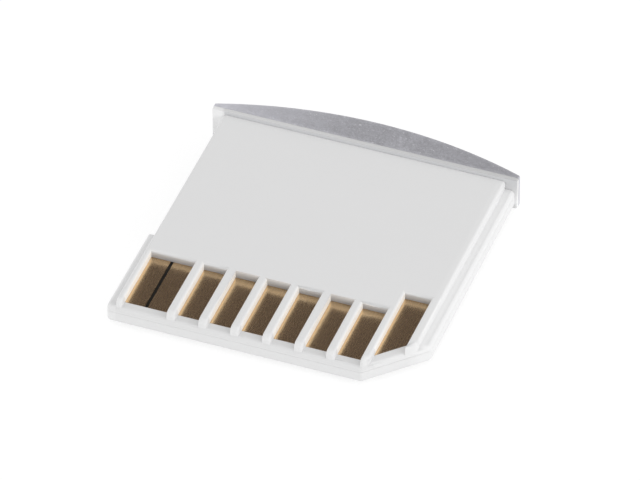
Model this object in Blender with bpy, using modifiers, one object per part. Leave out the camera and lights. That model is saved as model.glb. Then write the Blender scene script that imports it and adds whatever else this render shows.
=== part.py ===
"""Memory card adapter: a short card body with a side bay for a small card and an aluminium end cap.

The model frame has +Z up, out of the contact side, and -Y at the leading edge. Its origin is the centre
of the footprint, at the height of the cap's underside. All construction below is done in the card frame:
x across the card, y back from the leading edge and z up from the label face.
"""

import math

import bmesh
import bpy
from mathutils import Matrix, Vector

MM = 0.001

# Card body, as the host's slot expects it
BODY_WIDTH = 24.0 * MM
BODY_LENGTH = 22.5 * MM
BODY_THICKNESS = 2.1 * MM
RAIL_WIDTH = 0.75 * MM
RAIL_THICKNESS = 1.4 * MM
CORNER_CUT = 4.0 * MM
CORNER_RADIUS = 0.4 * MM
CUT_RADIUS = 0.4 * MM
EDGE_RADIUS = 0.23 * MM
RAIL_EDGE_RADIUS = 0.3 * MM
NOSE_RADIUS = 0.5 * MM
NOSE_SETBACK = 0.05 * MM
NOSE_RUNOUT = 0.01 * MM

# Finger notch, where the left rail ends
NOTCH_AHEAD_OF_BAY = 1.0 * MM
NOTCH_RADIUS = 0.3 * MM
NOTCH_OVERLAP = 0.05 * MM

# Contact windows, counted from the right: the corner window, the narrow ones and the wide one
RIGHT_FRAME = 0.75 * MM
CORNER_WINDOW_WIDTH = 2.05 * MM
CORNER_RIB_WIDTH = 0.6 * MM
FIRST_WINDOW_WIDTH = 1.95 * MM
RIB_WIDTH = 0.7 * MM
RIB_PITCH = 2.5 * MM
WIDE_WINDOW_LEAST = 2.4 * MM
LEFT_FRAME = 0.47 * MM
WINDOWS_TO_DIVIDER = 2.82 * MM
CORNER_WINDOW_LONGER = 2.08 * MM
LEDGE_DEPTH = 0.81 * MM

# Pads and board
PAD_THICKNESS = 0.04 * MM
PAD_OVERLAP = 0.08 * MM
PAD_TAIL = 0.3 * MM
PAD_GAP = 0.24 * MM
PAD_GAP_SHIFT = 0.09 * MM
BOARD_THICKNESS = 0.35 * MM
BOARD_CLEARANCE = 0.03 * MM
BOARD_HEADROOM = 0.01 * MM
SIDE_WALL = 0.25 * MM

# Shells
SEAM_HEIGHT = 0.9 * MM
FLOOR = 0.35 * MM
ROOF = 0.35 * MM
DIVIDER = 0.75 * MM
REAR_WALL = 1.45 * MM
SEAT_GAP = 0.02 * MM
LABEL_EDGE_RADIUS = 0.15 * MM
SUPPORT_WIDTH = 0.8 * MM
SUPPORT_COUNT = 4
SUPPORT_INSET = 0.6 * MM
PEG_RADIUS = 0.45 * MM
PEG_CLEARANCE = 0.05 * MM
PEG_INSET = 0.9 * MM
PEG_ENTRY = 0.3 * MM

# Small card that the bay takes
CARD_LENGTH = 15.0 * MM
CARD_WIDTH = 11.0 * MM
CARD_FACE = 0.7 * MM
CARD_LIP = 1.0 * MM
CARD_CLEARANCE = 0.15 * MM
CARD_HEADROOM = 0.07 * MM
MOUTH_FLARE = 0.35 * MM

# Contact block and its springs
BLOCK_LENGTH = 2.4 * MM
BLOCK_SIDE_GAP = 0.25 * MM
BLOCK_HEADROOM = 0.12 * MM
SPRING_COUNT = 8
SPRING_PITCH = 1.1 * MM
SPRING_WIDTH = 0.4 * MM
SPRING_THICKNESS = 0.12 * MM
SPRING_PRELOAD = 0.12 * MM
SPRING_REACH = 2.4 * MM
SPRING_TIP = 0.7 * MM
SPRING_TIP_RISE = 0.28 * MM
SPRING_ROOT = 0.3 * MM
SPRING_BEND = 0.35 * MM
SPRING_ROOM = 0.4 * MM
GROOVE_CLEARANCE = 0.03 * MM

# Flange and cap at the outer end
END_OVERHANG = 0.2 * MM
LIP = 0.35 * MM
FLANGE_THICKNESS = 0.3 * MM
FLANGE_CORNER = 0.15 * MM
FLANGE_EDGE = 0.06 * MM
TONGUE_HALF_WIDTH = 8.0 * MM
TONGUE_DEPTH = 0.9 * MM
TONGUE_THICKNESS = 1.0 * MM
BOSS_HALF_WIDTH = 9.0 * MM
BOSS_DEPTH = 0.8 * MM
BOSS_THICKNESS = 1.3 * MM
FIT_CLEARANCE = 0.03 * MM
CAP_DEPTH = 2.41 * MM
CAP_END_DEPTH = 0.32 * MM
CAP_EDGE = 0.1 * MM
CAP_CORNER = 0.12 * MM

# Fineness of rounded forms
ARC_STEP = math.radians(22.5)
NOSE_SEGMENTS = 4
RAIL_SEGMENTS = 4
EDGE_SEGMENTS = 3
CAP_ARC_SEGMENTS = 48
PEG_SEGMENTS = 24
SHARP = math.radians(50)
SMOOTH = math.radians(30)
FLAT = math.radians(0.2)

# Allowances for cutting: how far a cutter passes what it cuts, and what is trimmed off a blank
OVERSHOOT = 1.0 * MM
TRIM = 0.5 * MM
WELD = 0.00005 * MM
LEVEL = 0.001 * MM

# Places worked out from the sizes, in the card frame
HALF = BODY_WIDTH / 2
PANEL_HALF = HALF - RAIL_WIDTH
CUT_LINE = HALF - CORNER_CUT
POCKET_HALF = PANEL_HALF - SIDE_WALL
POCKET_TOP = RAIL_THICKNESS + BOARD_HEADROOM
PAD_TOP = POCKET_TOP - SEAT_GAP
PAD_BOTTOM = PAD_TOP - PAD_THICKNESS
BOARD_TOP = PAD_BOTTOM - SEAT_GAP
BOARD_BOTTOM = BOARD_TOP - BOARD_THICKNESS
SEAM_TOP = SEAM_HEIGHT + SEAT_GAP
BAY_WIDTH = CARD_WIDTH + 2 * CARD_CLEARANCE
BAY_END = BODY_LENGTH - REAR_WALL
BAY_START = BAY_END - BAY_WIDTH
BAY_MIDDLE = (BAY_START + BAY_END) / 2
BAY_TOP = FLOOR + CARD_LIP + CARD_HEADROOM
NOTCH_START = BAY_START - NOTCH_AHEAD_OF_BAY
STRIP_END = BAY_START - DIVIDER
WINDOW_END = STRIP_END - WINDOWS_TO_DIVIDER
CORNER_WINDOW_END = WINDOW_END + CORNER_WINDOW_LONGER
BLOCK_LEFT = -PANEL_HALF + CARD_LENGTH + CARD_CLEARANCE
BLOCK_RIGHT = BLOCK_LEFT + BLOCK_LENGTH
SPRING_END = (BLOCK_RIGHT + POCKET_HALF) / 2
CEILING = BODY_THICKNESS - ROOF
SPRING_LEVEL = BOARD_TOP + SEAT_GAP + SPRING_THICKNESS / 2
FLANGE_FRONT = BODY_LENGTH + SEAT_GAP
FLANGE_BACK = FLANGE_FRONT + FLANGE_THICKNESS
CAP_FRONT = FLANGE_BACK + SEAT_GAP
TOTAL_LENGTH = CAP_FRONT + CAP_DEPTH
END_HALF = HALF + END_OVERHANG
END_LOW = -LIP
END_HIGH = BODY_THICKNESS + LIP
MIDDLE_HEIGHT = BODY_THICKNESS / 2

# Turns an outline of y and z into a solid that runs across the card
SIDEWAYS = Matrix(((0, 0, 1, 0), (1, 0, 0, 0), (0, 1, 0, 0), (0, 0, 0, 1)))


def clear_scene():
    """Remove every object that the new file holds."""
    for item in list(bpy.data.objects):
        bpy.data.objects.remove(item, do_unlink=True)


def new_collection(name):
    """Make a collection under the scene's own."""
    collection = bpy.data.collections.new(name)
    bpy.context.scene.collection.children.link(collection)
    return collection


def new_material(name, color, roughness, metallic=0.0):
    """Make a Principled material from one colour, a roughness and a metallic value."""
    material = bpy.data.materials.new(name)
    material.use_nodes = True
    shader = material.node_tree.nodes["Principled BSDF"]
    shader.inputs["Base Color"].default_value = (*color, 1.0)
    shader.inputs["Roughness"].default_value = roughness
    shader.inputs["Metallic"].default_value = metallic
    material.diffuse_color = (*color, 1.0)
    return material


# Outlines

def arc_corner(before, corner, after, radius):
    """Points of the arc that rounds one corner of an outline, or the corner itself."""
    if radius <= 0:
        return [corner]
    to_before = (before - corner).normalized()
    to_after = (after - corner).normalized()
    half_angle = to_before.angle(to_after) / 2
    centre = corner + (to_before + to_after).normalized() * radius / math.sin(half_angle)
    start = corner + to_before * radius / math.tan(half_angle) - centre
    turn = math.pi - 2 * half_angle
    if to_before.cross(to_after) > 0:
        turn = -turn
    steps = max(2, math.ceil(abs(turn) / ARC_STEP - 0.01))
    return [centre + Matrix.Rotation(turn * i / steps, 2) @ start for i in range(steps + 1)]


def rounded_outline(corners, closed=True):
    """Turn corners, given as x, y and radius, into the points of a rounded outline."""
    spots = [Vector((x, y)) for x, y, radius in corners]
    last = len(corners) - 1
    points = []
    for i, (x, y, radius) in enumerate(corners):
        if not closed and i in (0, last):
            points.append(spots[i])
            continue
        points.extend(arc_corner(spots[i - 1], spots[i], spots[(i + 1) % len(spots)], radius))
    return points


# Solids

def face_outwards(work):
    """Point the faces of a closed bmesh out of its volume."""
    bmesh.ops.recalc_face_normals(work, faces=work.faces)
    if work.calc_volume(signed=True) < 0:
        bmesh.ops.reverse_faces(work, faces=work.faces)


class Builder:
    """Makes objects in the card frame, under the empty that carries it."""

    def __init__(self):
        clear_scene()
        self.parts = new_collection("memory_card_adapter")
        self.cutters = new_collection("cutters")
        self.frame = bpy.data.objects.new("card_frame", None)
        self.frame.empty_display_size = 2 * MM
        self.frame.location = (0, -TOTAL_LENGTH / 2, LIP)
        self.parts.objects.link(self.frame)
        bpy.context.view_layer.update()

    def place(self, item, material=None):
        """Link an object as a part, if it has a material, or else as a cutter."""
        item.parent = self.frame
        if material is None:
            self.cutters.objects.link(item)
            item.hide_render = True
            item.display_type = "WIRE"
        else:
            self.parts.objects.link(item)
            item.data.materials.append(material)
        return item

    def from_bmesh(self, name, mesh_data, material=None):
        """Finish a bmesh as an object whose faces point out."""
        face_outwards(mesh_data)
        mesh = bpy.data.meshes.new(name)
        mesh_data.to_mesh(mesh)
        mesh_data.free()
        return self.place(bpy.data.objects.new(name, mesh), material)

    def prism(self, name, outline, low, high, material=None, turn=None):
        """Extrude a flat outline between two heights, then turn it if it isn't a plan."""
        curve = bpy.data.curves.new(name, "CURVE")
        curve.dimensions = "2D"
        curve.fill_mode = "BOTH"
        curve.extrude = (high - low) / 2
        spline = curve.splines.new("POLY")
        spline.points.add(len(outline) - 1)
        for point, spot in zip(spline.points, outline):
            point.co = (spot[0], spot[1], 0, 1)
        spline.use_cyclic_u = True
        guide = bpy.data.objects.new(name + "_outline", curve)
        bpy.context.scene.collection.objects.link(guide)
        guide.matrix_world = Matrix.Translation((0, 0, (high + low) / 2))
        if turn is not None:
            guide.matrix_world = turn @ guide.matrix_world
        bpy.context.view_layer.update()
        evaluated = guide.evaluated_get(bpy.context.evaluated_depsgraph_get())
        mesh = bpy.data.meshes.new_from_object(evaluated)
        work = bmesh.new()
        work.from_mesh(mesh)
        bmesh.ops.remove_doubles(work, verts=work.verts, dist=WELD)
        bmesh.ops.dissolve_limit(work, angle_limit=FLAT, verts=work.verts, edges=work.edges)
        work.transform(guide.matrix_world)
        bpy.data.meshes.remove(mesh)
        bpy.data.objects.remove(guide, do_unlink=True)
        bpy.data.curves.remove(curve)
        return self.from_bmesh(name, work, material)

    def box(self, name, low, high, material=None):
        """A box between two corners."""
        work = bmesh.new()
        bmesh.ops.create_cube(work, size=1.0)
        size = [b - a for a, b in zip(low, high)]
        middle = [(a + b) / 2 for a, b in zip(low, high)]
        bmesh.ops.transform(work, matrix=Matrix.Diagonal((*size, 1)), verts=work.verts)
        bmesh.ops.translate(work, vec=middle, verts=work.verts)
        return self.from_bmesh(name, work, material)

    def peg(self, name, spot, radius, low, high):
        """An upright round peg, or the hole for one."""
        work = bmesh.new()
        bmesh.ops.create_cone(work, cap_ends=True, segments=PEG_SEGMENTS,
                              radius1=radius, radius2=radius, depth=high - low)
        bmesh.ops.translate(work, vec=(*spot, (low + high) / 2), verts=work.verts)
        return self.from_bmesh(name, work)


def boolean(target, other, operation, solver="EXACT"):
    """Add a live Boolean modifier."""
    modifier = target.modifiers.new(operation.lower() + "_" + other.name, "BOOLEAN")
    modifier.operation = operation
    modifier.solver = solver
    modifier.object = other


def cut(target, *cutters, solver="EXACT"):
    """Subtract cutters from a part."""
    for cutter in cutters:
        boolean(target, cutter, "DIFFERENCE", solver)


def join(target, *others, solver="EXACT"):
    """Unite helpers with a part."""
    for other in others:
        boolean(target, other, "UNION", solver)


def round_edges(item, radius, segments, chosen):
    """Round the sharp outer edges whose two ends pass a test."""
    work = bmesh.new()
    work.from_mesh(item.data)
    bmesh.ops.remove_doubles(work, verts=work.verts, dist=WELD)
    bmesh.ops.dissolve_limit(work, angle_limit=FLAT, verts=work.verts, edges=work.edges)
    edges = [e for e in work.edges
             if e.is_convex and e.calc_face_angle(0) > SHARP and chosen(*[v.co for v in e.verts])]
    bmesh.ops.bevel(work, geom=edges, offset=radius, offset_type="OFFSET", segments=segments,
                    profile=0.5, affect="EDGES", clamp_overlap=True)
    face_outwards(work)
    work.to_mesh(item.data)
    work.free()


def near(value, level):
    """Whether a place lies on a level."""
    return abs(value - level) < LEVEL


# Layout of the windows

def window_spans():
    """Left and right side of each window, from the right: corner, narrow ones, wide one."""
    right = PANEL_HALF - RIGHT_FRAME
    left = right - CORNER_WINDOW_WIDTH
    spans = [(left, right)]
    right = left - CORNER_RIB_WIDTH
    left = right - FIRST_WINDOW_WIDTH
    spans.append((left, right))
    last = -PANEL_HALF + LEFT_FRAME
    while left - RIB_PITCH - RIB_WIDTH - last > WIDE_WINDOW_LEAST:
        right = left - RIB_WIDTH
        left -= RIB_PITCH
        spans.append((left, right))
    spans.append((last, left - RIB_WIDTH))
    return spans


def pocket_outline(inset):
    """Plan of the pocket that the board lies in, or of the board itself when inset."""
    side = POCKET_HALF - inset
    front = LEDGE_DEPTH + inset
    cut_line = CUT_LINE - (LEDGE_DEPTH + inset) * math.sqrt(2)
    arm_left = BLOCK_RIGHT + inset
    return [
        (-side, front, 0),
        (cut_line + front, front, 0),
        (side, side - cut_line, 0),
        (side, BAY_END - inset, 0),
        (arm_left, BAY_END - inset, 0),
        (arm_left, STRIP_END - inset, 0),
        (-side, STRIP_END - inset, 0),
    ]


def peg_spots():
    """Where the label side's pegs pass through the board, between its windows and its back edge."""
    left_peg = -POCKET_HALF + PEG_INSET
    right_peg = window_spans()[0][0] - PEG_INSET
    row = STRIP_END - PEG_INSET
    return [(left_peg, row), ((left_peg + right_peg) / 2, row), (right_peg, row)]


# Outline of the card body

def body_outline(back, notch_inset):
    """Plan of the card body, with its cut corner and the finger notch beside the card bay."""
    notch = -PANEL_HALF + notch_inset
    return rounded_outline([
        (-HALF, 0, CORNER_RADIUS),
        (CUT_LINE, 0, CUT_RADIUS),
        (HALF, CORNER_CUT, CUT_RADIUS),
        (HALF, back, 0),
        (notch, back, 0),
        (notch, NOTCH_START, NOTCH_RADIUS),
        (-HALF, NOTCH_START, 0),
    ])


def bay_outline():
    """Plan of the card bay, flared at its mouth and open to the left."""
    outside = -HALF - OVERSHOOT
    mouth = -PANEL_HALF
    inside = mouth + MOUTH_FLARE
    end = BLOCK_RIGHT + BOARD_CLEARANCE
    low, high = BAY_START, BAY_END
    return [Vector(spot) for spot in (
        (outside, low - MOUTH_FLARE), (mouth, low - MOUTH_FLARE), (inside, low), (end, low),
        (end, high), (inside, high), (mouth, high + MOUTH_FLARE), (outside, high + MOUTH_FLARE),
    )]


# Sub-parts

def contact_side_shell(build, white):
    """The moulding with the rails, the raised panel, the ribs and the windows."""
    below = SEAM_TOP - TRIM
    beyond = BODY_LENGTH + TRIM
    shell = build.prism("contact_side_shell", body_outline(beyond, NOTCH_OVERLAP), below,
                        RAIL_THICKNESS, white)
    round_edges(shell, RAIL_EDGE_RADIUS, RAIL_SEGMENTS,
                lambda a, b: near(a.z, RAIL_THICKNESS) and near(b.z, RAIL_THICKNESS))
    panel = raised_panel(build, below, beyond)
    trim = build.prism(
        "seam_and_back_trim",
        [(BODY_LENGTH, BODY_THICKNESS + OVERSHOOT), (BODY_LENGTH, SEAM_TOP), (-OVERSHOOT, SEAM_TOP),
         (-OVERSHOOT, below - OVERSHOOT), (beyond + OVERSHOOT, below - OVERSHOOT),
         (beyond + OVERSHOOT, BODY_THICKNESS + OVERSHOOT)],
        -HALF - OVERSHOOT, HALF + OVERSHOOT, turn=SIDEWAYS)
    board_pocket = build.prism("board_pocket", rounded_outline(pocket_outline(0)), below - OVERSHOOT,
                               POCKET_TOP)
    bay = build.prism("bay_ceiling", bay_outline(), below - OVERSHOOT, BAY_TOP)
    half_room = BAY_WIDTH / 2 - CARD_CLEARANCE
    spring_room = build.box(
        "spring_room",
        (BLOCK_LEFT - SPRING_REACH - SPRING_TIP - SPRING_ROOM, BAY_MIDDLE - half_room, SEAM_TOP),
        (SPRING_END + SPRING_ROOM, BAY_MIDDLE + half_room, CEILING))
    sockets = [build.peg(f"peg_socket_{i + 1}", spot, PEG_RADIUS + FIT_CLEARANCE,
                         POCKET_TOP - TRIM, POCKET_TOP + PEG_ENTRY + SEAT_GAP)
               for i, spot in enumerate(peg_spots())]
    # The fillets here are a few hundredths of a millimetre across, which only this solver keeps closed
    join(shell, panel, solver="MANIFOLD")
    cut(shell, trim, board_pocket, bay, spring_room, tongue_pocket(build, "tongue_pocket_upper"),
        *sockets, solver="MANIFOLD")
    return shell


def comb_outline(back):
    """Plan of the raised panel: a comb whose teeth are the frames and the ribs."""
    corners = [(-PANEL_HALF, NOSE_SETBACK, 0)]
    spans = window_spans()
    for i in reversed(range(len(spans))):
        left, right = spans[i]
        end = CORNER_WINDOW_END if i == 0 else WINDOW_END
        corners += [(left, NOSE_SETBACK, 0), (left, end, 0),
                    (right, end, 0), (right, NOSE_SETBACK, 0)]
    corners += [(PANEL_HALF, NOSE_SETBACK, 0), (PANEL_HALF, back, 0), (-PANEL_HALF, back, 0)]
    return rounded_outline(corners)


def corner_nose(build, below):
    """Cutter that takes the panel's corner off along the card's cut and leaves a nose there."""
    centre = Vector((NOSE_RADIUS - NOSE_RUNOUT, BODY_THICKNESS - NOSE_RADIUS + NOSE_RUNOUT))
    steps = math.ceil(math.pi / 2 / ARC_STEP)
    arc = []
    for i in range(steps + 1):
        angle = math.pi - math.pi / 2 * i / steps
        arc.append(centre + NOSE_RADIUS * Vector((math.cos(angle), math.sin(angle))))
    reach = CORNER_CUT + OVERSHOOT
    high = BODY_THICKNESS + OVERSHOOT
    low = below - OVERSHOOT
    aslant = Matrix.Translation((CUT_LINE, 0, 0)) @ Matrix.Rotation(math.radians(45), 4, "Z")
    outline = [*arc, (arc[-1].x, high), (-reach, high), (-reach, low), (arc[0].x, low)]
    return build.prism("corner_nose", outline, -reach, 2 * reach,
                       turn=aslant @ Matrix.Translation((0, NOSE_SETBACK, 0)) @ SIDEWAYS)


def raised_panel(build, below, beyond):
    """The raised part of the contact side: ribs and frames with round noses, over the windows."""
    panel = build.prism("raised_panel", comb_outline(beyond), below, BODY_THICKNESS)
    round_edges(panel, NOSE_RADIUS, NOSE_SEGMENTS,
                lambda a, b: near(a.z, BODY_THICKNESS) and near(b.z, BODY_THICKNESS)
                and near(a.y, NOSE_SETBACK) and near(b.y, NOSE_SETBACK))
    round_edges(panel, EDGE_RADIUS, EDGE_SEGMENTS, lambda a, b: not (near(a.z, below) and near(b.z, below)))
    cut(panel, corner_nose(build, below), solver="MANIFOLD")
    return panel


def tongue_pocket(build, name):
    """The pocket in the rear wall that takes the flange's tongue."""
    room = FIT_CLEARANCE
    return build.box(
        name,
        (-TONGUE_HALF_WIDTH - room, BODY_LENGTH - TONGUE_DEPTH - room,
         MIDDLE_HEIGHT - TONGUE_THICKNESS / 2 - room),
        (TONGUE_HALF_WIDTH + room, BODY_LENGTH + OVERSHOOT,
         MIDDLE_HEIGHT + TONGUE_THICKNESS / 2 + room))


def label_side_shell(build, white):
    """The tray with the bay's floor, the divider, the board supports and the pegs."""
    shell = build.prism("label_side_shell", body_outline(BODY_LENGTH, 0), 0, SEAM_HEIGHT, white)
    round_edges(shell, LABEL_EDGE_RADIUS, EDGE_SEGMENTS, lambda a, b: near(a.z, 0) and near(b.z, 0)
                and not (near(a.y, BODY_LENGTH) and near(b.y, BODY_LENGTH)))
    board_room = build.prism("board_room", rounded_outline(pocket_outline(0)),
                             FLOOR, SEAM_HEIGHT + OVERSHOOT)
    bay = build.prism("bay_floor", bay_outline(), FLOOR, SEAM_HEIGHT + OVERSHOOT)
    cut(shell, board_room, bay, tongue_pocket(build, "tongue_pocket_lower"))
    join(shell, *board_supports(build))
    for i, spot in enumerate(peg_spots()):
        join(shell, build.peg(f"peg_{i + 1}", spot, PEG_RADIUS, FLOOR / 2, POCKET_TOP + PEG_ENTRY))
    return shell


def board_supports(build):
    """Low walls on the tray's floor that hold the board up behind its pads."""
    front = LEDGE_DEPTH + SUPPORT_INSET
    back = STRIP_END - SUPPORT_INSET
    top = BOARD_BOTTOM - SEAT_GAP
    left = -POCKET_HALF + PEG_INSET + 2 * PEG_RADIUS
    right = CUT_LINE - LEDGE_DEPTH * math.sqrt(2) - SUPPORT_WIDTH
    supports = []
    for i in range(SUPPORT_COUNT):
        x = left + (right - left) * i / (SUPPORT_COUNT - 1)
        supports.append(build.box(f"support_{i + 1}", (x, front, FLOOR / 2),
                                  (x + SUPPORT_WIDTH, back, top)))
    quarter = (POCKET_HALF - BLOCK_RIGHT) / 4
    supports.append(build.box("arm_support",
                              (SPRING_END - quarter / 2, BAY_START + SUPPORT_INSET, FLOOR / 2),
                              (SPRING_END + quarter / 2, BAY_END - SUPPORT_INSET, top)))
    return supports


def circuit_board(build, mask):
    """The thin board: a strip under the pads and an arm beside the contact block."""
    board = build.prism("circuit_board", rounded_outline(pocket_outline(BOARD_CLEARANCE)),
                        BOARD_BOTTOM, BOARD_TOP, mask)
    for i, spot in enumerate(peg_spots()):
        cut(board, build.peg(f"board_hole_{i + 1}", spot, PEG_RADIUS + PEG_CLEARANCE,
                             BOARD_BOTTOM - OVERSHOOT, BOARD_TOP + OVERSHOOT))
    return board


def pad_outline(left, right, back):
    """Plan of one pad, whose front edge keeps behind the ledge and the cut corner."""
    front = LEDGE_DEPTH + BOARD_CLEARANCE
    turn = CUT_LINE - front * math.sqrt(2) + front
    points = [(left, front + max(0, left - turn))]
    if left < turn < right:
        points.append((turn, front))
    points.append((right, front + max(0, right - turn)))
    return points + [(right, back), (left, back)]


def pad_outlines():
    """Plans of the pads: the corner pad, the narrow ones and the two in the wide window."""
    spans = window_spans()
    outlines = [pad_outline(spans[0][0] - PAD_OVERLAP, spans[0][1] + PAD_OVERLAP,
                            CORNER_WINDOW_END + PAD_TAIL)]
    narrow = [(left - PAD_OVERLAP, right + PAD_OVERLAP) for left, right in spans[1:-1]]
    left, right = spans[-1]
    gap = (left + right) / 2 - PAD_GAP_SHIFT
    wide = [(gap + PAD_GAP / 2, right + PAD_OVERLAP), (left - PAD_OVERLAP, gap - PAD_GAP / 2)]
    return outlines + [pad_outline(left, right, WINDOW_END + PAD_TAIL) for left, right in narrow + wide]


def pads(build, gold):
    """The contact pads on the board, numbered from the cut corner."""
    for i, outline in enumerate(pad_outlines()):
        build.prism(f"pad_{i + 1}", outline, PAD_BOTTOM, PAD_TOP, gold)


def contact_block(build, insulator):
    """The insulator at the end of the bay, with a groove for each spring."""
    half = CARD_WIDTH / 2 - BLOCK_SIDE_GAP
    top = CEILING - BLOCK_HEADROOM
    block = build.box("contact_block",
                      (BLOCK_LEFT, BAY_MIDDLE - half, FLOOR + SEAT_GAP),
                      (BLOCK_RIGHT - BOARD_CLEARANCE, BAY_MIDDLE + half, top), insulator)
    bottom = SPRING_LEVEL - SPRING_THICKNESS / 2 - GROOVE_CLEARANCE
    reach = SPRING_WIDTH / 2 + GROOVE_CLEARANCE
    for i, y in enumerate(spring_rows()):
        cut(block, build.box(f"groove_{i + 1}", (BLOCK_LEFT - OVERSHOOT, y - reach, bottom),
                             (BLOCK_RIGHT + OVERSHOOT, y + reach, top + OVERSHOOT)))
    return block


def spring_rows():
    """The y of each spring, centred on the bay."""
    first = BAY_MIDDLE - SPRING_PITCH * (SPRING_COUNT - 1) / 2
    return [first + SPRING_PITCH * i for i in range(SPRING_COUNT)]


def spring_path():
    """Side view of a spring, as x and z: tail, root, contact bump and raised tip."""
    bump = FLOOR + CARD_FACE - SPRING_PRELOAD + SPRING_THICKNESS / 2
    root = BLOCK_LEFT - SPRING_ROOT
    touch = BLOCK_LEFT - SPRING_REACH
    return rounded_outline([
        (SPRING_END, SPRING_LEVEL, 0),
        (root, SPRING_LEVEL, SPRING_BEND),
        (touch, bump, SPRING_BEND),
        (touch - SPRING_TIP, bump + SPRING_TIP_RISE, 0),
    ], closed=False)


def spring_contacts(build, plated):
    """The bent springs, each a strip carried along its path and given its thickness."""
    path = spring_path()
    for i, y in enumerate(spring_rows()):
        work = bmesh.new()
        rows = []
        for side in (-SPRING_WIDTH / 2, SPRING_WIDTH / 2):
            rows.append([work.verts.new((spot.x, y + side, spot.y)) for spot in path])
        for a, b, c, d in zip(rows[0], rows[0][1:], rows[1][1:], rows[1]):
            work.faces.new((a, b, c, d))
        spring = build.from_bmesh(f"spring_contact_{i + 1}", work, plated)
        thickness = spring.modifiers.new("strip_thickness", "SOLIDIFY")
        thickness.thickness = SPRING_THICKNESS
        thickness.offset = 0.0
        thickness.use_even_offset = True


def end_flange(build, white):
    """The thin end plate with its lip, a tongue between the shells and a boss for the cap."""
    corners = [(-END_HALF, END_LOW, FLANGE_CORNER), (END_HALF, END_LOW, FLANGE_CORNER),
               (END_HALF, END_HIGH, FLANGE_CORNER), (-END_HALF, END_HIGH, FLANGE_CORNER)]
    upright = Matrix.Rotation(math.radians(90), 4, "X")
    flange = build.prism("end_flange", rounded_outline(corners), -FLANGE_BACK, -FLANGE_FRONT,
                         white, upright)
    round_edges(flange, FLANGE_EDGE, EDGE_SEGMENTS,
                lambda a, b: near(a.y, FLANGE_FRONT) and near(b.y, FLANGE_FRONT))
    inside = FLANGE_THICKNESS / 2
    tongue = build.box(
        "flange_tongue",
        (-TONGUE_HALF_WIDTH, BODY_LENGTH - TONGUE_DEPTH, MIDDLE_HEIGHT - TONGUE_THICKNESS / 2),
        (TONGUE_HALF_WIDTH, FLANGE_FRONT + inside, MIDDLE_HEIGHT + TONGUE_THICKNESS / 2))
    boss = build.box(
        "cap_boss",
        (-BOSS_HALF_WIDTH, FLANGE_BACK - inside, MIDDLE_HEIGHT - BOSS_THICKNESS / 2),
        (BOSS_HALF_WIDTH, CAP_FRONT + BOSS_DEPTH, MIDDLE_HEIGHT + BOSS_THICKNESS / 2))
    join(flange, tongue, boss)
    return flange


def cap_outline():
    """Plan of the cap: a chord along the flange and an arc bulging away from it."""
    rise = CAP_DEPTH - CAP_END_DEPTH
    radius = (END_HALF ** 2 + rise ** 2) / (2 * rise)
    centre_y = CAP_FRONT + CAP_DEPTH - radius
    half_sweep = math.asin(END_HALF / radius)
    shoulder = CAP_FRONT + CAP_END_DEPTH
    arc = []
    for i in range(1, CAP_ARC_SEGMENTS):
        angle = half_sweep * (1 - 2 * i / CAP_ARC_SEGMENTS)
        arc.append((radius * math.sin(angle), centre_y + radius * math.cos(angle), 0))
    return rounded_outline([(-END_HALF, CAP_FRONT, 0), (END_HALF, CAP_FRONT, 0),
                            (END_HALF, shoulder, CAP_CORNER), *arc, (-END_HALF, shoulder, CAP_CORNER)])


def end_cap(build, aluminium):
    """The crescent cap with its pocket for the flange's boss."""
    cap = build.prism("end_cap", cap_outline(), END_LOW, END_HIGH, aluminium)
    round_edges(cap, CAP_EDGE, EDGE_SEGMENTS, lambda a, b: near(a.z, b.z)
                and not (near(a.y, CAP_FRONT) and near(b.y, CAP_FRONT)))
    room = FIT_CLEARANCE
    pocket = build.box(
        "boss_pocket",
        (-BOSS_HALF_WIDTH - room, CAP_FRONT - OVERSHOOT, MIDDLE_HEIGHT - BOSS_THICKNESS / 2 - room),
        (BOSS_HALF_WIDTH + room, CAP_FRONT + BOSS_DEPTH + room, MIDDLE_HEIGHT + BOSS_THICKNESS / 2 + room))
    cut(cap, pocket)
    return cap


def shade_round_forms(build):
    """Smooth the small curved faces and keep the flats crisp."""
    for item in build.parts.objects:
        if item.type == "MESH":
            item.data.shade_smooth()
            item.data.set_sharp_from_angle(angle=SMOOTH)


def main():
    """Build the adapter."""
    build = Builder()
    white = new_material("white_plastic", (0.78, 0.78, 0.78), 0.45)
    mask = new_material("black_board", (0.01, 0.012, 0.01), 0.4)
    gold = new_material("gold_plating", (0.83, 0.58, 0.33), 0.12, 1.0)
    insulator = new_material("black_insulator", (0.02, 0.02, 0.02), 0.5)
    aluminium = new_material("blasted_aluminium", (0.42, 0.42, 0.44), 0.38, 1.0)
    contact_side_shell(build, white)
    label_side_shell(build, white)
    circuit_board(build, mask)
    pads(build, gold)
    contact_block(build, insulator)
    spring_contacts(build, gold)
    end_flange(build, white)
    end_cap(build, aluminium)
    shade_round_forms(build)
    bpy.context.view_layer.update()


main()
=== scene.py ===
"""Dresses the memory card adapter for its photograph: finishes, smooth shading, stage, light and camera.

Run as a script. It adds no shape to the adapter. The board, the pads and the contact block are the frame's
own solids with a finish. Merged, smooth-shaded copies of their solids stand in for the shells, the flange,
the cap and the springs. Around them comes a white studio with the photograph's view.
"""

import math

import bmesh
import bpy
import numpy as np
from bpy.props import FloatProperty, FloatVectorProperty, PointerProperty
from bpy.types import Operator, Panel, PropertyGroup
from mathutils import Matrix, Vector


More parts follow.
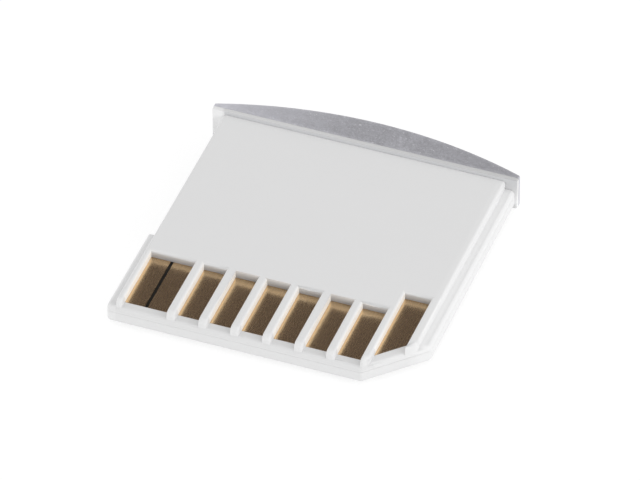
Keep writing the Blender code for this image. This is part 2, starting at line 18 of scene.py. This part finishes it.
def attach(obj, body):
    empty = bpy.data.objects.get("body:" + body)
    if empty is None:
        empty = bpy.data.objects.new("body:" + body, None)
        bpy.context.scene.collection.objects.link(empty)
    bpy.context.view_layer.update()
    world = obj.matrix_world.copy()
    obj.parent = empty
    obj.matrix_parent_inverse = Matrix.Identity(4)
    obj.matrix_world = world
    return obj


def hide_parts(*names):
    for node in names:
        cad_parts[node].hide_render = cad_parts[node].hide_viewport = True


bl_info = {
    "name": "Memory card adapter dressing",
    "version": (1, 0, 0),
    "blender": (4, 5, 0),
    "location": "3D View > Sidebar > Card Adapter",
    "description": "Finishes, smooth shading and a white studio for the memory card adapter",
    "category": "Material",
}

MM = 0.001
BODY = "root"
WHITE_NODES = ("contact_side_shell", "label_side_shell", "end_flange")
PAD_NODES = tuple(f"pad_{i}" for i in range(1, 10))
SPRING_NODES = tuple(f"spring_contact_{i}" for i in range(1, 9))

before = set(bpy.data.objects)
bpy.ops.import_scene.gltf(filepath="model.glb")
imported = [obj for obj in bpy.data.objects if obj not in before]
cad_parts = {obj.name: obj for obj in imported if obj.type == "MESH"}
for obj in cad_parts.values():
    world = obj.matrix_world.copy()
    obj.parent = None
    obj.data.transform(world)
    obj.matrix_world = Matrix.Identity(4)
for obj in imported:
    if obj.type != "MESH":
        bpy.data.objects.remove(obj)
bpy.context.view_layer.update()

# Places on the adapter, in millimetres, at which its finishes change. The card's width runs across, its
# length runs along from the leading edge to the cap, and height is measured from the cap's underside.
WINDOW_ENDS = (-6.8, -4.2)      # along: the windows' far walls lie between these
LIP_FRONT = (9.8, 9.97)         # along: the front of the flange's lip lies between these
LEDGE_BACK = -11.85             # along: the ledge in front of the pads ends before this
CUT_LEDGE = 19.3                # across less along: the ledge beside the cut corner starts here
PANEL_SIDE = 11.2               # across: just inside the raised panel's side walls
LEFT_RAIL = -11.24              # across: the panel's left side wall and the left rail lie left of this
RIGHT_RAIL = 10.6               # across: the painted light on the right rail sets in here
PANEL_TOP = 2.45                # height of the raised panel
LEDGE_HEIGHTS = (1.4, 1.8)      # height: the ledge's top lies between these
LIP_FOOT = 2.82                 # height: painted shade on the lip's front below this
LIP_CORNER = 1.4                # height: painted shade on the lip's right corner above this
FLANGE_TOP = 2.72               # height: only the flange's top lies above this
FLANGE_END = 1.6                # height: painted light on the flange's right end below this
CAP_FRONT = 10.215              # along: the cap's straight front
ARC_RADIUS = 36.65              # radius of the cap's arc
ARC_CENTRE = -24.03             # along: the middle of that arc

# How the solids' copies are cleaned and shaded.
MERGE = 0.0001 * MM
FLAT_ANGLE = math.radians(0.2)
SHARP_ANGLE = math.radians(40)

# The stage, in metres.
BODY_MIDDLE = (0.0, -0.001625, 0.00135)
FRAME_SHIFT = (0.0007026, 0.001027)     # to the right and up, from the body's middle to the picture's
FLOOR_HALF = 1.5
SHEET_CELLS = 8
CARD_AWAY = 0.30
CARD_HALF = (0.25, 0.19)


# Shader maths

def sign(operation):
    """The two methods behind an arithmetic sign: for a value on its left, and for a value on its right."""
    def left(value, other):
        return value.kit.add("ShaderNodeMath", {"operation": operation}, {0: value, 1: other})

    def right(value, other):
        return value.kit.add("ShaderNodeMath", {"operation": operation}, {0: other, 1: value})

    return left, right


class Val:
    """A value in a node tree. Plain arithmetic on it adds the Math nodes that work it out."""

    def __init__(self, kit, socket):
        self.kit = kit
        self.socket = socket

    __add__, __radd__ = sign("ADD")
    __sub__, __rsub__ = sign("SUBTRACT")
    __mul__, __rmul__ = sign("MULTIPLY")
    __pow__, __rpow__ = sign("POWER")
    __gt__, __lt__ = sign("GREATER_THAN")

    def __neg__(self):
        return 0.0 - self

    def clamped(self):
        """The value kept between 0 and 1."""
        return self.kit.add("ShaderNodeClamp", {}, {"Value": self})


class Kit:
    """The node tree of one finish, with its Principled shader already in place."""

    def __init__(self, name):
        self.material = bpy.data.materials.new(name)
        self.material.use_nodes = True
        self.tree = self.material.node_tree
        self.shader = self.tree.nodes["Principled BSDF"]

    def add(self, kind, settings=None, inputs=None, output=0):
        """Add a node: settings first, then its sockets' values or links. Returns one of its outputs."""
        node = self.tree.nodes.new(kind)
        for key, value in (settings or {}).items():
            setattr(node, key, value)
        for key, value in (inputs or {}).items():
            self.feed(node.inputs[key], value)
        return Val(self, node.outputs[output])

    def feed(self, socket, value):
        """Link a value into a socket, or set the socket to a plain number or colour."""
        if isinstance(value, Val):
            self.tree.links.new(value.socket, socket)
        else:
            socket.default_value = value

    def set(self, **values):
        """Feed sockets of the Principled shader, named with underscores for spaces."""
        for key, value in values.items():
            self.feed(self.shader.inputs[key.replace("_", " ")], value)

    def place(self, scale=(1, 1, 1)):
        """Object coordinates, in millimetres, stretched by a scale."""
        coordinates = self.add("ShaderNodeTexCoord", output="Object")
        steps = tuple(s / MM for s in scale)
        return self.add("ShaderNodeMapping", {}, {"Vector": coordinates, "Scale": steps})

    def facing(self):
        """The way the surface faces: across, along and up."""
        return self.parts(self.add("ShaderNodeTexCoord", output="Normal"))

    def parts(self, vector):
        """The three components of a vector: across, along and up."""
        node = self.add("ShaderNodeSeparateXYZ", {}, {0: vector}).socket.node
        return [Val(self, socket) for socket in node.outputs]

    def noise(self, where, scale, detail=2.0, roughness=0.5, distortion=0.0):
        """Fractal noise about a half. The scale is its number of features a millimetre."""
        return self.add("ShaderNodeTexNoise", {}, {
            "Vector": where, "Scale": scale, "Detail": detail, "Roughness": roughness,
            "Distortion": distortion,
        })

    def mix(self, amount, first, second):
        """Blend of two colours."""
        return self.add("ShaderNodeMix", {"data_type": "RGBA"}, {0: amount, 6: first, 7: second}, 2)

    def bump(self, height, distance, strength=1.0, under=None):
        """Normal from a height, whose full range is a distance in metres."""
        inputs = {"Strength": strength, "Distance": distance, "Height": height}
        if under is not None:
            inputs["Normal"] = under
        return self.add("ShaderNodeBump", {}, inputs)


def rgba(color, factor=1.0):
    """A colour with its alpha, lightened or darkened by a factor."""
    return (*(min(1.0, c * factor) for c in color), 1.0)


def between(value, low, high):
    """Mask of the places where a value lies between two numbers."""
    return (value > low) * (value < high)


def rising(value, start, slope):
    """Mask that is 0 up to a start and from there grows to 1, by the slope a unit."""
    return ((value - start) * slope).clamped()


def falling(value, end, slope):
    """Mask that falls from 1 to 0 at an end, by the slope a unit, and is 0 past it."""
    return ((end - value) * slope).clamped()


def swing(noise, amount):
    """A noise about a half, made a change about zero whose full range is an amount."""
    return (noise - 0.5) * amount


# Settings

def color_property(name, description, default):
    """A colour that the user may change."""
    return FloatVectorProperty(name=name, description=description, default=default, subtype="COLOR",
                               size=3, min=0.0, max=1.0)


def share_property(name, description, default):
    """A number from 0 to 1 that the user may change."""
    return FloatProperty(name=name, description=description, default=default, subtype="FACTOR",
                         min=0.0, max=1.0)


class PlasticSettings(PropertyGroup):
    """Looks of the white moulded plastic."""

    color: color_property("Colour", "Colour of the white plastic", (0.755, 0.755, 0.757))
    roughness: share_property("Roughness", "Roughness of the moulded surface", 0.5)
    # Painted light on the ribs' walls that face right.
    painted_light_color: color_property("Lit wall", "Colour of the ribs' walls that face right", (0.97, 0.96, 0.94))
    # Painted shade on the windows' far walls and the lip's front, and how much of it they take.
    painted_shade_color: color_property("Shaded wall", "Colour of the windows' far walls", (0.355, 0.365, 0.39))
    painted_shade_share: share_property("Wall shade", "How much of that colour the far walls take", 0.95)
    grain: FloatProperty(name="Grain height", description="Height of the spark-eroded grain",
                         default=0.0006 * MM, unit="LENGTH", precision=6)


class MetalSettings(PropertyGroup):
    """Looks of the gold plating and of the blasted aluminium."""

    gold: color_property("Gold", "Colour of the gold plating", (0.86, 0.64, 0.39))
    gold_roughness: share_property("Gold roughness", "Roughness of the pads", 0.27)
    aluminium: color_property("Aluminium", "Colour of the anodised aluminium", (0.60, 0.60, 0.635))
    blast_roughness: share_property("Blasted roughness", "Roughness of the blasted cap", 0.7)
    grit: FloatProperty(name="Grit size", description="Width of a blasted dimple",
                        default=0.07 * MM, unit="LENGTH", precision=6)


class StageSettings(PropertyGroup):
    """The photograph's view and the studio's light."""

    azimuth: FloatProperty(name="Azimuth", description="Camera's turn about the upright axis",
                           default=math.radians(20.488), subtype="ANGLE")
    elevation: FloatProperty(name="Elevation", description="Camera's height angle",
                             default=math.radians(41.174), subtype="ANGLE")
    roll: FloatProperty(name="Roll", description="Camera's turn about its own axis",
                        default=math.radians(-0.215), subtype="ANGLE")
    distance: FloatProperty(name="Distance", description="From the camera to the aim point",
                            default=621.9 * MM, unit="LENGTH")
    lens: FloatProperty(name="Lens", description="Focal length", default=471.7, unit="CAMERA")
    world: FloatProperty(name="World strength", description="Light from all round", default=0.81)
    right_light: FloatProperty(name="Right light", description="Power of the light on the right",
                               default=0.88, unit="POWER")
    left_light: FloatProperty(name="Left light", description="Power of the light on the left",
                              default=0.6, unit="POWER")


# Solids and their copies

def dress(names, material):
    """Give solids of the frame one finish."""
    for name in names:
        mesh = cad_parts[name].data
        mesh.materials.clear()
        mesh.materials.append(material)


def round_copy(name, material):
    """Stand a merged copy in for a solid, so that the facets of its small fillets shade as one curve."""
    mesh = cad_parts[name].data.copy()
    mesh.name = name + "_surface"
    work = bmesh.new()
    work.from_mesh(mesh)
    bmesh.ops.remove_doubles(work, verts=work.verts, dist=MERGE)
    bmesh.ops.dissolve_limit(work, angle_limit=FLAT_ANGLE, verts=work.verts, edges=work.edges)
    work.to_mesh(mesh)
    work.free()
    mesh.shade_smooth()
    mesh.set_sharp_from_angle(angle=SHARP_ANGLE)
    mesh.materials.clear()
    mesh.materials.append(material)
    item = bpy.data.objects.new(name + "_surface", mesh)
    bpy.context.scene.collection.objects.link(item)
    weighted = item.modifiers.new("even_shading", "WEIGHTED_NORMAL")
    weighted.keep_sharp = True
    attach(item, BODY)
    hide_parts(name)


# Finishes

def painted_shade_mask(kit, where):
    """Mask of painted shade on the walls that face forwards and see little light.

    These are the windows' far walls, darker the further down, and the front of the flange's lip: its foot
    behind the panel, and its upper part beside the panel on the right.
    """
    across, along, height = kit.parts(where)
    forwards = rising(-kit.facing()[1], 0.35, 2.2)
    far_wall_shade = between(along, *WINDOW_ENDS) * falling(height, PANEL_TOP, 1.75)
    lip_foot_shade = between(across, -PANEL_SIDE, PANEL_SIDE) * falling(height, LIP_FOOT, 6.0) * 0.39
    lip_corner_shade = (across > PANEL_SIDE) * rising(height, LIP_CORNER, 1.0) * 0.40
    return forwards * (far_wall_shade + between(along, *LIP_FRONT) * (lip_foot_shade + lip_corner_shade))


def painted_light_mask(kit, where):
    """Mask of painted light on the ribs' walls that face right, which keeps them bright to the bottom.

    It sets in on their rounded upper edge and leaves out the panel's own sides and the ledge that follows
    the cut corner.
    """
    across, along, height = kit.parts(where)
    rightwards = rising(kit.facing()[0], 0.4, 2.5)
    depth = falling(height, PANEL_TOP + 0.03, 3.0)
    inside = between(across, -PANEL_SIDE, PANEL_SIDE) * between(along, LEDGE_BACK, WINDOW_ENDS[1])
    return rightwards * depth * inside * (across - along < CUT_LEDGE)


def painted_light_factor(kit, where):
    """Painted light and shade: how light a place is against the panel.

    Painted shade makes the ledge and the flange's top darker. Painted light makes the rails, the panel's
    sides and the flange's two ends lighter.
    """
    across, along, height = kit.parts(where)
    flange = along > LIP_FRONT[0]
    body = 1.0 - flange
    ledge = (along < LEDGE_BACK) * between(height, *LEDGE_HEIGHTS)
    top = (height > FLANGE_TOP) * (0.20 + across * 0.005)
    right_rail = rising(across, RIGHT_RAIL, 1.2) * body
    left_rail = (across < LEFT_RAIL) * body
    right_end = flange * (across > PANEL_SIDE) * falling(height, FLANGE_END, 1.0)
    left_end = flange * falling(across, -PANEL_SIDE, 4.0)
    painted_darkening = ledge * 0.045 + top
    painted_lightening = right_rail * 0.075 + left_rail * 0.04 + right_end * 0.16 + left_end * 0.17
    return 1.0 - painted_darkening + painted_lightening


def white_plastic(look):
    """Satin white plastic: spark-eroded grain, faint flow marks, few specks and a slightly uneven sheen."""
    kit = Kit("white_plastic")
    where = kit.place()
    flow = kit.noise(kit.place((0.35, 1.0, 0.6)), 0.35, 3.0, 0.55, 0.6)
    mottle = kit.noise(where, 5.0, 3.0, 0.6)
    grain = kit.noise(where, 22.0, 3.0, 0.7)
    cells = kit.add("ShaderNodeTexVoronoi", {"feature": "F1"}, {"Vector": where, "Scale": 2.1})
    speck = falling(cells, 0.045, 40.0)
    shade = (flow * 0.5 + mottle * 0.5).clamped()
    tone = kit.mix(shade, rgba(look.color, 0.985), rgba(look.color, 1.012))
    tone = kit.mix(speck * 0.12, tone, rgba(look.color, 0.72))
    # Painted light and shade: a darker ledge and flange top, lighter rails and flange ends.
    factor = painted_light_factor(kit, where)
    tone = kit.add("ShaderNodeVectorMath", {"operation": "SCALE"}, {0: tone, "Scale": factor})
    # Painted light on the ribs' walls that face right.
    tone = kit.mix(painted_light_mask(kit, where), tone, rgba(look.painted_light_color))
    # Painted shade on the windows' far walls and the lip's front.
    tone = kit.mix(painted_shade_mask(kit, where) * look.painted_shade_share, tone, rgba(look.painted_shade_color))
    soft = kit.bump(grain, look.grain * 4)
    kit.set(Base_Color=tone, Specular_IOR_Level=0.3,
            Roughness=look.roughness + swing(mottle, 0.10) + swing(grain, 0.08),
            Normal=kit.bump(mottle, look.grain * 3, 0.6, under=soft))
    return kit.material


def gold_plating(look, name, rougher=0.0):
    """Polished gold: a faint orange-peel wave, plating grain and hairline rubbing along the card."""
    kit = Kit(name)
    where = kit.place()
    wave = kit.noise(where, 0.9, 2.0, 0.5)
    grain = kit.noise(where, 16.0, 3.0, 0.6)
    hair = kit.noise(kit.place((1.0, 0.03, 1.0)), 34.0, 2.0, 0.6)
    shade = (wave * 0.7 + grain * 0.3).clamped()
    soft = kit.bump(wave, 0.0012 * MM, 0.5)
    kit.set(Base_Color=kit.mix(shade, rgba(look.gold, 0.96), rgba(look.gold, 1.03)), Metallic=1.0,
            Roughness=look.gold_roughness + rougher + swing(grain, 0.03) + swing(hair, 0.03),
            Normal=kit.bump(hair, 0.00012 * MM, 0.5, under=soft))
    return kit.material


def blasted_aluminium(look):
    """Bead-blasted aluminium under clear anodising: close dimples, with painted glints on a few of them.

    Painted light makes it paler to the left, along its seat on the flange and along its rim, where the
    distance from the arc's centre comes near the arc's radius, and painted shade makes it darker to the
    right.
    """
    kit = Kit("blasted_aluminium")
    where = kit.place()
    pits = MM / look.grit
    dimples = kit.add("ShaderNodeTexVoronoi", {"feature": "F1"}, {"Vector": where, "Scale": pits})
    cells = kit.add("ShaderNodeTexVoronoi", {"feature": "F1"}, {"Vector": where, "Scale": pits * 0.8}, 1)
    level = kit.add("ShaderNodeSeparateColor", {}, {0: cells})
    patch = kit.noise(where, 0.9, 3.0, 0.6)
    cloud = kit.noise(where, 2.6, 3.0, 0.65)
    across, along, _ = kit.parts(where)
    out = (across ** 2.0 + (along - ARC_CENTRE) ** 2.0) ** 0.5
    painted_rim_highlight = rising(out, ARC_RADIUS - 0.55, 1.8) ** 2.0
    painted_seat_highlight = falling(along, CAP_FRONT + 0.40, 2.5) ** 2.0
    painted_light_left = falling(across, -1.0, 0.10)
    painted_light_tip = falling(across, -9.6, 0.5)
    painted_shade_right = rising(across, 2.0, 0.12)
    painted_glint = rising(level, 0.955, 40.0) * rising(cloud, 0.40, 5.0)
    spread = (level * 0.35 + patch * 0.30 + cloud * 0.35).clamped()
    tone = kit.mix(spread, rgba(look.aluminium, 0.66), rgba(look.aluminium, 1.30))
    # Painted light to the left and on the left tip, painted shade to the right, painted highlights along
    # the rim and the seat.
    for amount, factor in (
        (painted_light_left * 0.65, 1.32),
        (painted_shade_right * 0.35, 0.72),
        ((painted_rim_highlight * 0.45 + painted_seat_highlight * 0.35).clamped(), 1.38),
        (painted_light_tip * 0.25, 1.6),
    ):
        tone = kit.mix(amount, tone, rgba(look.aluminium, factor))
    # Painted glints on a few dimples.
    tone = kit.mix(painted_glint * 0.55, tone, (0.9, 0.9, 0.92, 1.0))
    kit.set(Base_Color=tone, Metallic=0.75,
            Roughness=look.blast_roughness + swing(level, 0.12) + swing(patch, 0.10) + painted_light_left * 0.1,
            Normal=kit.bump(dimples, 0.008 * MM, 0.45))
    return kit.material


def solder_mask():
    """Black solder mask: a soft sheen over copper that shows as a slight relief."""
    kit = Kit("black_board")
    where = kit.place()
    mottle = kit.noise(where, 3.0, 3.0, 0.6)
    weave = kit.add("ShaderNodeTexWave", {"bands_direction": "DIAGONAL"},
                    {"Vector": where, "Scale": 1.6, "Distortion": 1.5, "Detail": 2.0})
    kit.set(Base_Color=kit.mix(mottle, (0.012, 0.012, 0.011, 1.0), (0.024, 0.022, 0.018, 1.0)),
            Roughness=0.34 + swing(mottle, 0.14), Specular_IOR_Level=0.2,
            Normal=kit.bump(weave * 0.4 + mottle * 0.6, 0.004 * MM, 0.5))
    return kit.material


def insulator_plastic():
    """Black glass-filled plastic of the contact block, with short fibres near its surface."""
    kit = Kit("black_insulator")
    fibres = kit.noise(kit.place((1.0, 0.2, 1.0)), 18.0, 2.0, 0.7)
    mottle = kit.noise(kit.place(), 4.0, 2.0, 0.5)
    kit.set(Base_Color=kit.mix(fibres, (0.016, 0.016, 0.017, 1.0), (0.034, 0.034, 0.036, 1.0)),
            Roughness=0.5 + swing(mottle, 0.16), Normal=kit.bump(fibres, 0.003 * MM, 0.5))
    return kit.material


# Stage

def view_axes(look):
    """The camera's right, up and backward directions."""
    back = Vector((math.sin(look.azimuth) * math.cos(look.elevation),
                   -math.cos(look.azimuth) * math.cos(look.elevation), math.sin(look.elevation)))
    right = Vector((math.cos(look.azimuth), math.sin(look.azimuth), 0.0))
    up = back.cross(right)
    cosine, sine = math.cos(look.roll), math.sin(look.roll)
    return cosine * right + sine * up, cosine * up - sine * right, back


def set_camera(look):
    """A long lens that looks down at the adapter from in front and a little from the right."""
    right, up, back = view_axes(look)
    aim = Vector(BODY_MIDDLE) + right * FRAME_SHIFT[0] + up * FRAME_SHIFT[1]
    spot = aim + back * look.distance
    camera = bpy.data.objects.new("camera", bpy.data.cameras.new("camera"))
    bpy.context.scene.collection.objects.link(camera)
    camera.matrix_world = Matrix.Translation(spot) @ Matrix((right, up, back)).transposed().to_4x4()
    camera.data.lens = look.lens
    camera.data.sensor_width = 36.0
    camera.data.clip_start = 0.01
    camera.data.clip_end = 20.0
    bpy.context.scene.camera = camera


def set_world(look):
    """Even white light from all round."""
    world = bpy.data.worlds.new("studio")
    bpy.context.scene.world = world
    world.use_nodes = True
    sky = world.node_tree.nodes["Background"]
    sky.inputs["Color"].default_value = (1.0, 1.0, 1.0, 1.0)
    sky.inputs["Strength"].default_value = look.world


def sheet(name, middle, across, up):
    """A flat sheet of the stage, over a grid of u and v from -1 to 1.

    The point at u, v is the middle, plus u times the half width, plus v times the half height, which are
    vectors.
    """
    steps = np.linspace(-1.0, 1.0, SHEET_CELLS + 1)
    u, v = np.meshgrid(steps, steps)
    points = np.array(middle) + u[..., None] * np.array(across) + v[..., None] * np.array(up)
    index = np.arange(u.size).reshape(u.shape)
    corners = (index[:-1, :-1], index[:-1, 1:], index[1:, 1:], index[1:, :-1])
    faces = np.stack(corners, axis=-1).reshape(-1, 4)
    mesh = bpy.data.meshes.new(name)
    mesh.from_pydata(points.reshape(-1, 3).tolist(), [], faces.tolist())
    mesh.update()
    item = bpy.data.objects.new(name, mesh)
    bpy.context.scene.collection.objects.link(item)
    return item


def lay_floor():
    """A white floor that the camera and mirrors see as paper white, with the adapter's shadow on it."""
    floor = sheet("floor", (0.0, 0.0, 0.0), (FLOOR_HALF, 0.0, 0.0), (0.0, FLOOR_HALF, 0.0))
    kit = Kit("floor_paper")
    kit.set(Base_Color=(0.93, 0.93, 0.93, 1.0), Roughness=0.9, Specular_IOR_Level=0.1)
    fibre = kit.noise(kit.place(), 0.08, 2.0, 0.5)
    glow = kit.add("ShaderNodeEmission", {}, {"Color": (1.0, 1.0, 1.0, 1.0), "Strength": 1.08})
    seen, mirrored, through = (kit.add("ShaderNodeLightPath", output=name) for name in
                               ("Is Camera Ray", "Is Glossy Ray", "Is Transmission Ray"))
    share = (seen + mirrored + through).clamped() * (0.75 + swing(fibre, 0.02))
    blend = kit.add("ShaderNodeMixShader", {}, {0: share, 2: glow})
    kit.tree.links.new(kit.shader.outputs[0], blend.socket.node.inputs[1])
    kit.feed(kit.tree.nodes["Material Output"].inputs["Surface"], blend)
    floor.data.materials.append(kit.material)


def hang_dark_card(look):
    """A dark card, high behind the adapter, for the polished pads to reflect.

    The camera and diffuse light don't see it.
    """
    right, _, back = view_axes(look)
    mirrored = Vector((-back.x, -back.y, back.z))
    rise = mirrored.cross(right)
    card = sheet("dark_card", mirrored * CARD_AWAY, right * CARD_HALF[0], rise * CARD_HALF[1])
    kit = Kit("dark_card")
    kit.set(Base_Color=(0.096, 0.0857, 0.088, 1.0), Roughness=0.95, Specular_IOR_Level=0.0)
    card.data.materials.append(kit.material)
    card.visible_camera = False
    card.visible_diffuse = False


def hang_light(name, power, spot, size):
    """A soft rectangular light that faces the adapter."""
    lamp = bpy.data.lights.new(name, "AREA")
    lamp.shape = "RECTANGLE"
    lamp.size, lamp.size_y = size
    lamp.energy = power
    item = bpy.data.objects.new(name, lamp)
    bpy.context.scene.collection.objects.link(item)
    item.location = spot
    item.rotation_euler = (-Vector(spot)).to_track_quat("-Z", "Y").to_euler()


def hang_lights(look):
    """Long, low, soft lights on the right and on the left."""
    hang_light("right_light", look.right_light, spot=(0.42, -0.12, 0.20), size=(0.6, 0.20))
    hang_light("left_light", look.left_light, spot=(-0.42, -0.15, 0.07), size=(0.6, 0.13))


# Operators

class ADAPTER_OT_plastic(Operator):
    """Give the two shells and the flange their white plastic"""

    bl_idname = "adapter.plastic"
    bl_label = "White plastic"

    def execute(self, context):
        finish = white_plastic(context.scene.adapter_plastic)
        for name in WHITE_NODES:
            round_copy(name, finish)
        return {"FINISHED"}


class ADAPTER_OT_board(Operator):
    """Give the board its solder mask and the contact block its black plastic"""

    bl_idname = "adapter.board"
    bl_label = "Board and contact block"

    def execute(self, context):
        dress(("circuit_board",), solder_mask())
        dress(("contact_block",), insulator_plastic())
        return {"FINISHED"}


class ADAPTER_OT_contacts(Operator):
    """Plate the pads and the springs with gold, on the stamped springs a little rougher"""

    bl_idname = "adapter.contacts"
    bl_label = "Gold contacts"

    def execute(self, context):
        metal = context.scene.adapter_metal
        dress(PAD_NODES, gold_plating(metal, "gold_plating"))
        finish = gold_plating(metal, "plated_spring", rougher=0.05)
        for name in SPRING_NODES:
            round_copy(name, finish)
        return {"FINISHED"}


class ADAPTER_OT_cap(Operator):
    """Blast the aluminium cap"""

    bl_idname = "adapter.cap"
    bl_label = "Aluminium cap"

    def execute(self, context):
        round_copy("end_cap", blasted_aluminium(context.scene.adapter_metal))
        return {"FINISHED"}


class ADAPTER_OT_stage(Operator):
    """Lay the floor, hang the dark card and the lights, and set the photograph's camera"""

    bl_idname = "adapter.stage"
    bl_label = "Stage, light and camera"

    def execute(self, context):
        look = context.scene.adapter_stage
        set_world(look)
        lay_floor()
        hang_dark_card(look)
        hang_lights(look)
        set_camera(look)
        context.scene.view_settings.view_transform = "Standard"
        return {"FINISHED"}


STEPS = (ADAPTER_OT_plastic, ADAPTER_OT_board, ADAPTER_OT_contacts, ADAPTER_OT_cap, ADAPTER_OT_stage)
GROUPS = {
    "adapter_plastic": PlasticSettings,
    "adapter_metal": MetalSettings,
    "adapter_stage": StageSettings,
}


class ADAPTER_PT_panel(Panel):
    """The adapter's settings and steps in the sidebar"""

    bl_label = "Card Adapter"
    bl_idname = "ADAPTER_PT_panel"
    bl_space_type = "VIEW_3D"
    bl_region_type = "UI"
    bl_category = "Card Adapter"

    def draw(self, context):
        for key in GROUPS:
            group = getattr(context.scene, key)
            box = self.layout.box()
            for name in group.__annotations__:
                box.prop(group, name)
        for step in STEPS:
            self.layout.operator(step.bl_idname)


def register():
    """Add the classes and the scene's settings."""
    for item in (*GROUPS.values(), *STEPS, ADAPTER_PT_panel):
        bpy.utils.register_class(item)
    for key, group in GROUPS.items():
        setattr(bpy.types.Scene, key, PointerProperty(type=group))


def unregister():
    """Take the settings and the classes away."""
    for key in GROUPS:
        delattr(bpy.types.Scene, key)
    for item in (ADAPTER_PT_panel, *reversed(STEPS), *reversed(tuple(GROUPS.values()))):
        bpy.utils.unregister_class(item)


def main():
    """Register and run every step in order."""
    register()
    for step in STEPS:
        group, name = step.bl_idname.split(".")
        getattr(getattr(bpy.ops, group), name)()


if __name__ == "__main__":
    main()
